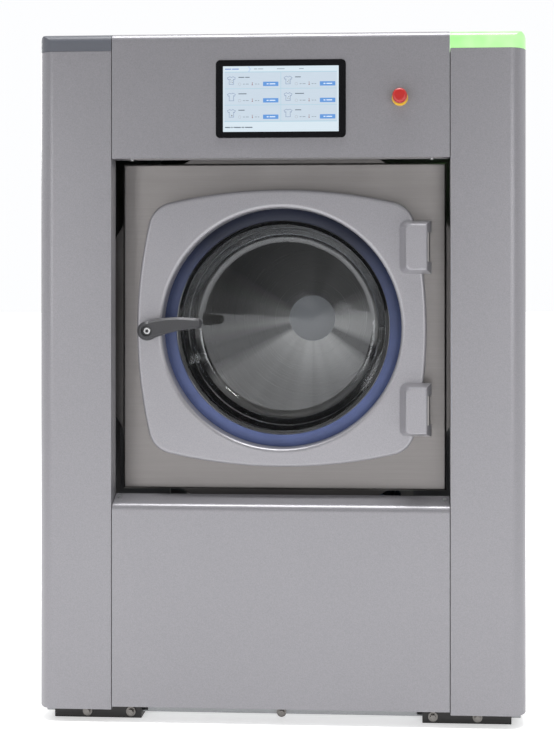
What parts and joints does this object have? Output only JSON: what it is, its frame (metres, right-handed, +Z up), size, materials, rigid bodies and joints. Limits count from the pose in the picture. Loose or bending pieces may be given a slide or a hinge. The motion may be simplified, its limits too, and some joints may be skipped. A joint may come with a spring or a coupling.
{
  "type": "commercial washing machine",
  "caption": "Front-loading washer-extractor with a round glass door in a bulged square frame, side columns, touch screen, stop button and a sprung tub with a belt-driven drum.",
  "frame": {"origin": "centre of the overall box at the floor", "axes": "+X to the right as seen from the front, +Y to the back, +Z up"},
  "size_m": [1.015, 1.202, 1.43],
  "materials": {
    "silver_paint": "fine metallic satin",
    "grey_paint": "satin",
    "stainless": "horizontally brushed",
    "zinc_steel": "zinc plated",
    "dark_steel": "satin",
    "slate_plastic": "fine grain",
    "green_light": "translucent, lit",
    "black_glass": "gloss",
    "display": "lit display",
    "red_plastic": "satin",
    "yellow_plastic": "satin",
    "black_plastic": "matt",
    "white_plastic": "satin",
    "blue_plastic": "satin",
    "grey_plastic": "satin",
    "blue_rubber": "matt blue",
    "black_rubber": "matt",
    "glass": "smoked",
    "cast_metal": "cast",
    "handle_metal": "satin dark grey",
    "brass": "plain",
    "copper_motor": "painted cast"
  },
  "bodies": {
    "cabinet": {"base_frame": "grey_paint", "foot_plates": "dark_steel", "base_bolts": "zinc_steel", "cabinet_frame": "grey_paint", "column_left": "silver_paint", "column_right": "silver_paint", "column_cap": "slate_plastic", "signal_light_cap": "green_light", "control_panel": "silver_paint", "lower_panel": "silver_paint", "side_panel_left": "silver_paint", "side_panel_right": "silver_paint", "rear_panel": "stainless", "top_cover": "silver_paint", "panel_screws": "zinc_steel", "screen_bezel": "black_glass", "screen_display": "display", "stop_button_collar": "yellow_plastic", "electrical_box": "grey_paint", "dispenser_hopper": "white_plastic", "dispenser_cells": "blue_plastic", "dispenser_hose": "black_rubber", "inlet_valves": "brass", "drain_valve_body": "grey_plastic", "drain_bellows": "black_rubber", "isolator_housing": "grey_plastic", "cable_gland": "black_plastic", "suspension_springs": "dark_steel", "damper_cylinders": "black_plastic"},
    "tub": {"damper_rods": "zinc_steel", "suspension_legs": "grey_paint", "tub_shell": "stainless", "tub_front_wall": "stainless", "tub_front_plate": "stainless", "mouth_seal": "black_rubber", "tub_back": "stainless", "bearing_housing": "cast_metal", "shaft_bearings": "zinc_steel", "motor_housing": "copper_motor", "motor_bracket": "grey_paint", "drive_belt": "black_rubber", "hinge_brackets": "stainless", "door_keeper": "zinc_steel"},
    "drum": {"drum_shell": "stainless", "drum_front": "stainless", "drum_back": "stainless", "drum_lifters": "stainless", "drum_pulley": "cast_metal"},
    "motor_rotor": {"motor_pulley": "cast_metal"},
    "door": {"door_frame": "silver_paint", "door_gasket": "blue_rubber", "door_glass": "glass", "glass_clamp": "dark_steel", "hinge_covers": "silver_paint"},
    "door_handle": {"door_handle": "handle_metal"},
    "stop_stem": {"stop_button_stem": "black_plastic"},
    "stop_head": {"stop_button_head": "red_plastic"},
    "soap_lid": {"dispenser_lid": "white_plastic"},
    "isolator": {"isolator_knob": "black_plastic"},
    "drain_valve": {"drain_flap": "grey_plastic"}
  },
  "joints": [
    {"name": "tub_bounce", "type": "slide", "parent": "cabinet", "child": "tub", "axis": [0, 0, 1], "range_m": [-0.012, 0.01], "stiffness_N_per_m": 160000, "springref_m": 0.02095, "deforming": ["suspension_springs", "drain_bellows", "dispenser_hose"]},
    {"name": "drum_spin", "type": "hinge", "parent": "tub", "child": "drum", "pos_m": [0, -0.084, 0.818], "axis": [0, 1, 0], "continuous": true},
    {"name": "motor_spin", "type": "hinge", "parent": "tub", "child": "motor_rotor", "pos_m": [0.14, 0.441, 0.285], "axis": [0, 1, 0], "continuous": true},
    {"name": "door_swing", "type": "hinge", "parent": "tub", "child": "door", "pos_m": [0.3, -0.551, 0.818], "axis": [0, 0, 1], "range_deg": [0, 110]},
    {"name": "handle_turn", "type": "hinge", "parent": "door", "child": "door_handle", "pos_m": [-0.276, -0.551, 0.813], "axis": [0, 1, 0], "range_deg": [-12, 75]},
    {"name": "stop_press", "type": "slide", "parent": "cabinet", "child": "stop_stem", "axis": [0, 1, 0], "range_m": [0, 0.005], "stiffness_N_per_m": 600, "springref_m": -0.01},
    {"name": "stop_twist", "type": "hinge", "parent": "stop_stem", "child": "stop_head", "pos_m": [0.248, -0.589, 1.292], "axis": [0, 1, 0], "range_deg": [0, 45], "stiffness_Nm_per_rad": 0.05, "springref_deg": -17.19},
    {"name": "soap_lid_lift", "type": "hinge", "parent": "cabinet", "child": "soap_lid", "pos_m": [-0.28, -0.081, 1.422], "axis": [-1, 0, 0], "range_deg": [0, 100]},
    {"name": "isolator_turn", "type": "hinge", "parent": "cabinet", "child": "isolator", "pos_m": [0.38, 0.581, 1.29], "axis": [0, 1, 0], "range_deg": [0, 90]},
    {"name": "drain_valve_turn", "type": "hinge", "parent": "cabinet", "child": "drain_valve", "pos_m": [-0.06, 0.066, 0.17], "axis": [0, 0, 1], "range_deg": [0, 90]}
  ],
  "couplings": [
    {"joint": "motor_spin", "follows": "drum_spin", "ratio": 5}
  ]
}
